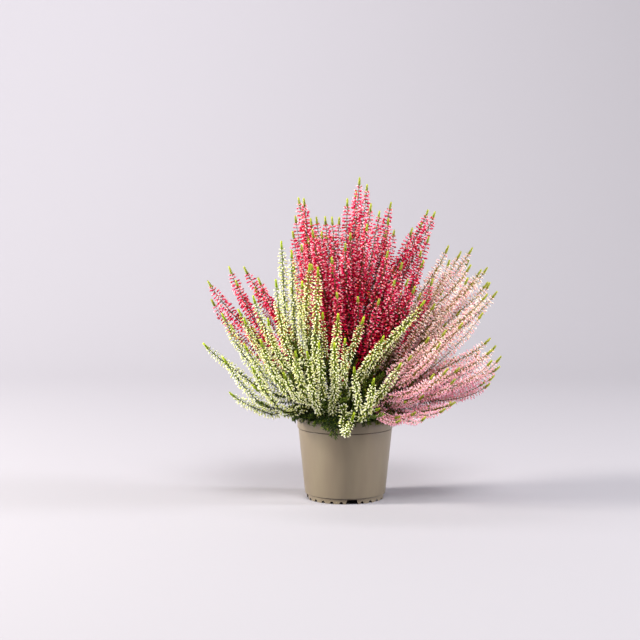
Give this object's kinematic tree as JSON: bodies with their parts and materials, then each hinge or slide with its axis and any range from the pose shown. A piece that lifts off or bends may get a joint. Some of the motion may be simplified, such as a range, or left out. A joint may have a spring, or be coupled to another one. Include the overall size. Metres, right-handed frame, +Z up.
{
  "type": "potted heather",
  "caption": "Bushy heather in a round taupe nursery pot, with slender upright flower spikes in white, crimson and pale pink fanning out over dark green foliage.",
  "frame": {"origin": "on the surface the pot stands on, under the middle of the whole plant's box", "axes": "+Z up, -Y towards the front, where the white sprays hang lowest, +X to the right of the front view, where the pink sprays are"},
  "size_m": [0.3637, 0.2561, 0.4001],
  "materials": {
    "pot_plastic": "satin moulded polypropylene, taupe",
    "peat": "moist crumbly peat, dark brown",
    "white_florets": "dry papery buds, creamy white with lime green",
    "crimson_florets": "dry papery buds, crimson to hot pink",
    "pink_florets": "dry papery buds, pale to mid pink"
  },
  "bodies": {
    "root": {"pot": "pot_plastic", "soil": "peat", "pink_spray_01": "pink_florets", "pink_spray_02": "pink_florets", "pink_spray_03": "pink_florets", "pink_spray_04": "pink_florets", "pink_spray_05": "pink_florets", "pink_spray_06": "pink_florets", "pink_spray_07": "pink_florets", "pink_spray_08": "pink_florets", "pink_spray_09": "pink_florets", "pink_spray_10": "pink_florets", "pink_spray_11": "pink_florets", "pink_spray_12": "pink_florets", "pink_spray_13": "pink_florets", "pink_spray_14": "pink_florets", "pink_spray_15": "pink_florets", "pink_spray_16": "pink_florets", "red_spray_01": "crimson_florets", "red_spray_02": "crimson_florets", "red_spray_03": "crimson_florets", "red_spray_04": "crimson_florets", "red_spray_05": "crimson_florets", "red_spray_06": "crimson_florets", "red_spray_07": "crimson_florets", "red_spray_08": "crimson_florets", "red_spray_09": "crimson_florets", "red_spray_10": "crimson_florets", "red_spray_11": "crimson_florets", "red_spray_12": "crimson_florets", "red_spray_13": "crimson_florets", "red_spray_14": "crimson_florets", "red_spray_15": "crimson_florets", "red_spray_16": "crimson_florets", "red_spray_17": "crimson_florets", "red_spray_18": "crimson_florets", "red_spray_19": "crimson_florets", "red_spray_20": "crimson_florets", "red_spray_21": "crimson_florets", "white_spray_01": "white_florets", "white_spray_02": "white_florets", "white_spray_03": "white_florets", "white_spray_04": "white_florets", "white_spray_05": "white_florets", "white_spray_06": "white_florets", "white_spray_07": "white_florets", "white_spray_08": "white_florets", "white_spray_09": "white_florets", "white_spray_10": "white_florets", "white_spray_11": "white_florets", "white_spray_12": "white_florets", "white_spray_13": "white_florets", "white_spray_14": "white_florets", "white_spray_15": "white_florets", "white_spray_16": "white_florets", "white_spray_17": "white_florets", "white_spray_18": "white_florets", "white_spray_19": "white_florets", "white_spray_20": "white_florets", "white_spray_21": "white_florets"}
  },
  "joints": []
}
